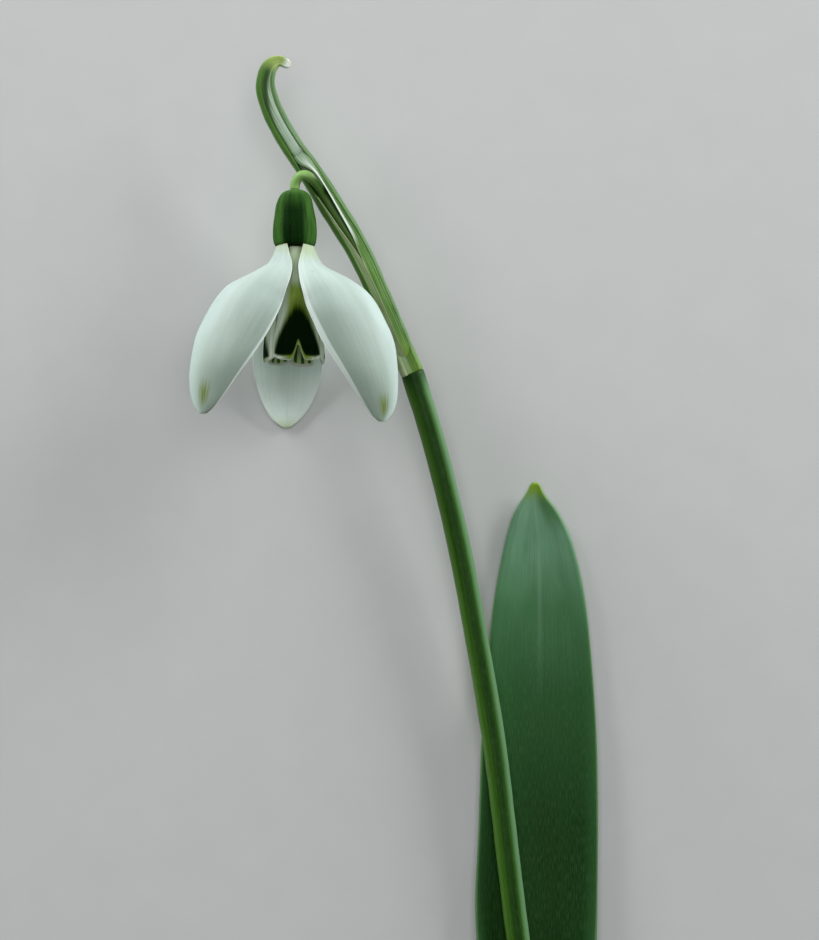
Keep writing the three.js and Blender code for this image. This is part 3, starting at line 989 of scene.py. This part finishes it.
def inner_inside():
    """The inside of an inner petal: white, with green stripes that stop short of the rim."""
    look = Look("inner_petal_inside", 0.55, 0.2)
    _, down, from_rim = down_inner(look)
    inputs = {"Vector": look.uv, "Scale": 2.6, "Distortion": 1.4}
    wave = look.add("ShaderNodeTexWave", inputs, bands_direction="X", wave_profile="SIN")
    stripes = wave.outputs[1]
    lines = look.fade(stripes, 0.4, 0.75)
    reach = look.times(look.fade(down, 4, 6), look.fade(from_rim, 0.25, 0.5))
    white = look.mix(look.grain(1, 3, (50, 2, 1)), (196, 206, 186), (222, 228, 216))
    edge = look.mix(look.times(reach, 0.8), white, (190, 208, 130))
    look.shade = look.mix(look.times(reach, lines), edge, (40, 96, 16))
    look.bump(stripes, 0.15, 0.4)
    return look.done()


def round_the_tube(look):
    """How far a place on a tube faces right and up, each from -1 to 1."""
    angle = look.line(look.across, 2 * math.pi, -math.pi)
    return look.calc("SINE", angle), look.calc("COSINE", angle)


def stem_green():
    """Deep green with fine ribs, pale at the cut foot, with a painted bluish sheen down the right
    flank, painted light on the left flank and a painted shade band down the front.
    """
    look = Look("stem_green", 0.4, 0.16)
    right, up = round_the_tube(look)
    ribs = look.grain(1, 3, (40, 5, 1))
    fine = look.grain(1, 4, (56, 110, 1), (3, 0, 0))
    look.shade = look.mix(look.fade(ribs, 0.3, 0.7), (32, 74, 6), (54, 98, 20))
    # Painted sheen: bluish and lighter down the right flank.
    painted_sheen = look.fade(right, 0.35, 0.95)
    look.cover(look.times(painted_sheen, 0.8), (118, 160, 116))
    # Painted light: lighter down the left flank.
    left = look.fade(right, -0.95, -0.3, 0.5, 0)
    look.cover(left, (90, 130, 52))
    # Painted shade: a dark band down the front, a little to the right.
    painted_shade = look.times(look.band(right, 0.08, 0.3, 0.28), look.fade(up, 0, 0.4), 0.75)
    look.cover(painted_shade, (10, 46, 0))
    look.cover(look.fade(fine, 0.4, 0.75, 0, 0.1), (110, 148, 84))
    node = look.fade_along(0.93, 0.96, 0, 0.7)
    look.cover(node, (12, 50, 2))
    foot = look.fade_along(0.06, 0.2, 0.8, 0)
    look.cover(foot, (196, 208, 158))
    look.bump(look.plus(ribs, look.times(fine, 0.5)), 0.12)
    return look.done()


def sheath_green():
    """Two green keels, a pale streaky film between them past the pedicel, and a cream knob."""
    look = Look("sheath_green", 0.38, 0.25)
    ribs = look.grain(1, 3, (70, 6, 1))
    streaks = look.grain(1, 3, (34, 3, 1), (4, 0, 0))
    round_it = look.calc("FRACT", look.plus(look.across, 0.5))
    keel = look.mix(look.fade(ribs, 0.3, 0.7), (52, 96, 20), (84, 128, 44))
    film = look.mix(look.fade(streaks, 0.38, 0.62), (84, 118, 68), (178, 202, 170))
    edge = look.line(look.fade_along(0.6, 0.72), 0.03, 0.43)
    edge = look.line(look.fade_along(0.74, 0.92), 0.085, edge)
    from_edge = look.less(round_it, edge)
    left = look.fade(from_edge, -0.012, 0.012, 1, 0)
    right = look.plus(round_it, look.fade_along(0.08, 0.14, 0.09, 0))
    right = look.fade(right, 0.57, 0.61)
    right = look.times(right, look.fade_along(0.6, 0.76, 1, 0.25))
    look.shade = look.mix(look.calc("MAXIMUM", left, right), film, keel)
    glint = look.band(round_it, 0.545, 0.05, 0.045)
    glint = look.times(glint, look.band(look.along, 0.71, 0.1, 0.06), 0.75)
    look.cover(glint, (196, 218, 200))
    high = look.fade_along(0.55, 0.68)
    olive = look.times(look.band(from_edge, -0.035, 0.032, 0.03), high)
    look.cover(look.times(olive, 0.9), (22, 56, 0))
    line = look.times(look.band(round_it, 0.635, 0.012, 0.01), high)
    look.cover(look.times(line, 0.7), (58, 92, 30))
    # Painted rim light: a pale bluish band down the right flank and a pale line along the left
    # edge.
    painted_sheen = look.band(look.across, 0.27, 0.055, 0.05)
    painted_sheen = look.times(painted_sheen, look.fade_along(0.4, 0.6, 1, 0.5))
    painted_rim_light = look.plus(painted_sheen, look.band(look.across, 0.71, 0.025, 0.02))
    look.cover(look.times(painted_rim_light, 0.5), (140, 176, 136))
    foot = look.fade_along(0, 0.13, 0.55, 0)
    look.cover(foot, YOUNG_GREEN)
    wedge = look.band(round_it, 0.35, 0.09, 0.07)
    look.cover(look.times(wedge, look.fade_along(0.01, 0.14, 0.85, 0)), CREAM)
    bend = look.band(look.along, 0.945, 0.025, 0.02)
    look.cover(look.times(bend, 0.75), (176, 200, 110))
    knob = look.fade_along(0.955, 0.975)
    look.cover(knob, (236, 242, 226))
    look.bump(look.plus(ribs, streaks), 0.12, 0.6)
    return look.done()


def sheath_film():
    """Both flaps, cream-edged: the left one pale, the right one green with a painted glint as a
    silvery-white streak.
    """
    look = Look("sheath_film", 0.32, 0.35)
    streaks = look.grain(1, 3, (18, 4, 1))
    pale = look.mix(look.fade(streaks, 0.35, 0.62), (112, 142, 78), (160, 182, 128))
    green = look.mix(look.fade(streaks, 0.3, 0.65), (60, 104, 30), (98, 142, 58))
    film = look.mix(look.fade(streaks, 0.35, 0.62), (92, 124, 76), (160, 186, 152))
    right = look.fade(look.across, 0.49, 0.51)
    closed = look.fade_along(0.8, 0.9)
    look.shade = look.mix(right, pale, look.mix(closed, green, film))
    left_rim = look.band(look.across, 0.48, 0.022, 0.015)
    rim = look.calc("MAXIMUM", look.fade(look.across, 0.955, 0.985), left_rim)
    rim = look.times(rim, look.fade_along(0.86, 0.92, 1, 0))
    look.cover(rim, (206, 210, 172))
    # Painted glint: a silvery-white streak along the right flap.
    middle = look.fade_along(0.78, 0.92, 0.9, 0.74)
    painted_glint = look.band(look.less(look.across, middle), 0, 0.09, 0.07)
    painted_glint = look.times(painted_glint, look.band(look.along, 0.73, 0.18, 0.06), 0.95)
    look.cover(painted_glint, (226, 238, 232))
    foot = look.fade_along(0.0, 0.14, 0.55, 0)
    look.cover(foot, look.mix(right, CREAM, YOUNG_GREEN))
    look.bump(streaks, 0.1, 0.6)
    return look.done()


def pedicel_green():
    """Fresh pale green on the arch, with a painted highlight on top; in the sheath, painted shade
    with painted light on its left flank.
    """
    look = Look("pedicel_green", 0.38, 0.3)
    right, up = round_the_tube(look)
    ribs = look.grain(1, 3, (20, 10, 1))
    pale = look.mix(look.fade(ribs, 0.3, 0.7), (118, 162, 78), (142, 186, 104))
    # Painted shade inside the sheath, with painted light on the left flank.
    painted_shade = look.mix(look.fade(ribs, 0.3, 0.7), (22, 56, 6), (58, 98, 28))
    painted_shade = look.mix(look.fade(right, -0.25, 0.35, 0.8, 0), painted_shade, (98, 136, 62))
    arch = look.fade_along(0.82, 0.88)
    look.shade = look.mix(arch, painted_shade, pale)
    # Painted highlight along the top of the arch.
    painted_highlight = look.times(look.fade(up, 0.2, 0.95, 0, 0.15), arch)
    look.cover(painted_highlight, (176, 202, 142))
    look.bump(ribs, 0.06)
    return look.done()


def ovary_green():
    """Painted shade in three dark bands down its faces, between lighter, bluish flanks, finely
    streaked.
    """
    look = Look("ovary_green", 0.62, 0.04)
    angle = look.line(look.across, 6 * math.pi, -3 * math.pi)
    faces = look.calc("COSINE", angle)
    streaks = look.grain(1, 4, (46, 2, 1))
    flecks = look.grain(1, 4, (150, 26, 1), (2, 5, 0))
    light = look.mix(look.fade(streaks, 0.3, 0.7), (42, 80, 24), (66, 108, 44))
    painted_shade = look.mix(look.fade(streaks, 0.3, 0.7), (2, 28, 0), (10, 44, 0))
    # Painted shade: three dark bands down the faces, fading towards the top.
    painted_shade_share = look.fade(faces, -0.85, 0.5)
    painted_shade_share = look.times(painted_shade_share, look.fade_along(0.55, 0.95, 1, 0.25))
    look.shade = look.mix(painted_shade_share, light, painted_shade)
    look.cover(look.fade(flecks, 0.5, 0.78, 0, 0.16), (76, 116, 56))
    top = look.fade_along(0.8, 0.95, 0, 0.5)
    look.cover(top, (98, 138, 78))
    look.bump(look.plus(streaks, look.times(flecks, 0.5)), 0.1)
    return look.done()


def leaf_green():
    """Glaucous green, bluer and paler near the tip, partly by painted light, with faint veins, a
    midrib, scuffs and a painted shadow of the hood's fold.
    """
    look = Look("leaf_green", 0.46, 0.1)
    from_middle = look.apart(look.across, 0.5)
    veins = look.grain(1, 3, (80, 4, 1))
    fine = look.grain(1, 4, (150, 80, 1), (6, 2, 0))
    patches = look.grain(1, 3, (4, 7, 1), (1, 4, 0))
    look.shade = look.ramp(look.along, LEAF_GREENS_AND_LIGHT)
    look.cover(look.fade(veins, 0.3, 0.7, 0.15, 0), (26, 66, 28))
    look.cover(look.fade(fine, 0.42, 0.72, 0, 0.17), (104, 146, 100))
    look.cover(look.fade(patches, 0.35, 0.7, 0, 0.25), (34, 80, 34))
    rib = look.times(look.fade(from_middle, 0.0, 0.045, 0.2, 0), look.fade_along(0.55, 0.8))
    look.cover(rib, (146, 182, 156))
    # Painted shadow of the hood's fold, down the tip's right side.
    painted_fold_shadow = look.times(look.fade_along(0.86, 0.93), look.fade(look.across, 0.5, 0.8), 0.6)
    look.cover(painted_fold_shadow, (58, 110, 30))
    hood = look.fade_along(0.935, 0.985)
    look.cover(hood, (134, 172, 50))
    scuffs = look.fade(look.grain(1, 2, (26, 150, 1), (3, 9, 0)), 0.7, 0.74)
    scuffs = look.times(scuffs, look.band(look.along, 0.42, 0.16, 0.08))
    scuffs = look.times(scuffs, look.fade(look.across, 0.6, 0.75), 0.7)
    look.cover(scuffs, (26, 54, 24))
    side = look.fade(from_middle, 0.36, 0.47, 0, 0.3)
    look.cover(look.times(side, look.fade_along(0.5, 0.75, 1, 0.3)), (64, 112, 62))
    margin = look.fade(from_middle, 0.485, 0.497, 0, 0.4)
    look.cover(margin, (126, 160, 112))
    look.bump(look.plus(veins, look.times(fine, 0.5)), 0.09)
    return look.done()


def anther_yellow():
    look = Look("anther_yellow", 0.55)
    grains = look.grain(900, 3, on_uv=False)
    look.shade = look.mix(look.fade(grains, 0.3, 0.7), (196, 132, 40), (232, 180, 70))
    look.bump(grains, 0.06)
    return look.done()


def style_white():
    """White, green towards its hidden top."""
    look = Look("style_white", 0.5)
    streaks = look.grain(1, 3, (12, 3, 1))
    green = look.fade_along(0.2, 0.8)
    pale = look.mix(streaks, (206, 216, 190), (226, 232, 214))
    look.shade = look.mix(green, pale, (150, 180, 110))
    look.bump(streaks, 0.05)
    return look.done()


# The flower ----------------

stands_for(make_leaf(), "leaf", "leaf_blade", leaf_green())
stands_for(make_stem(), "scape", "stem_green", stem_green())
stands_for(make_sheath(), "spathe", "sheath_green", sheath_green())
stands_for(make_film(), "spathe", "sheath_green", sheath_film())
stands_for(make_pedicel(), "pedicel", "pedicel_green", pedicel_green())
stands_for(make_ovary(), "ovary", "ovary_green", ovary_green())

hollow = petal_white("petal_inside", False)
lit_left = petal_white("petal_outside_left", True, 0, LEFT_PAINTED_SHADING)
lit_right = petal_white("petal_outside_right", True, 1, RIGHT_PAINTED_SHADING)
for seed, petal in enumerate(OUTER_PETALS, start=20):
    outside = lit_right if petal["name"] == "outer_petal_right" else lit_left
    stands_for(make_outer_petal(petal, seed), petal["name"], "outer_petal", hollow, outside)

inside = inner_inside()
marked = inner_outside("inner_petal_marked", *FRONT_MARK)
side_marked = inner_outside("inner_petal_side", *SIDE_MARK)
for seed, petal in enumerate(INNER_PETALS, start=30):
    outside = marked if petal["turn"] == 0 else side_marked
    piece = make_inner_petal(petal, seed)
    stands_for(piece, petal["name"], "inner_petal", inside, outside)

stands_for(make_stamens(), "stamens", "anther", anther_yellow())
stands_for(make_style(), "style", "style_green", style_white())

# The table, the light and the camera ----------------


def lay_table():
    put_down()
    bpy.ops.mesh.primitive_plane_add(size=TABLE_SIZE)
    table = bpy.context.object
    table.name = "table"
    look = Look("table_paper", 0.85)
    tooth = look.grain(180, 4, on_uv=False)
    look.shade = look.mix(tooth, (206, 207, 206), (212, 213, 212))
    table.data.materials.append(look.done())


def hang_light(name, place, size, watts, colour):
    put_down()
    bpy.ops.object.light_add(type="AREA", location=place)
    lamp = bpy.context.object
    lamp.name = name
    lamp.data.shape = "RECTANGLE"
    lamp.data.size, lamp.data.size_y = size
    lamp.data.energy = watts
    lamp.data.color = colour
    towards = Vector(LIT_PLACE) - Vector(place)
    lamp.rotation_euler = towards.to_track_quat("-Z", "Y").to_euler()


def set_camera():
    put_down()
    bpy.ops.object.camera_add(location=CAMERA_PLACE, rotation=(0, 0, 0))
    camera = bpy.context.object
    camera.data.sensor_fit = "VERTICAL"
    camera.data.sensor_height = CAMERA_SENSOR
    camera.data.lens = CAMERA_LENS
    camera.data.clip_start = 0.01
    bpy.context.scene.camera = camera


def light_room():
    """Fills the shadows with a little even light."""
    world = bpy.data.worlds.new("room")
    world.use_nodes = True
    background = world.node_tree.nodes["Background"]
    background.inputs[0].default_value = ROOM_COLOUR
    background.inputs[1].default_value = ROOM_STRENGTH
    bpy.context.scene.world = world


lay_table()
for light in LIGHTS:
    hang_light(*light)
set_camera()
light_room()
bpy.context.scene.view_settings.view_transform = "Standard"
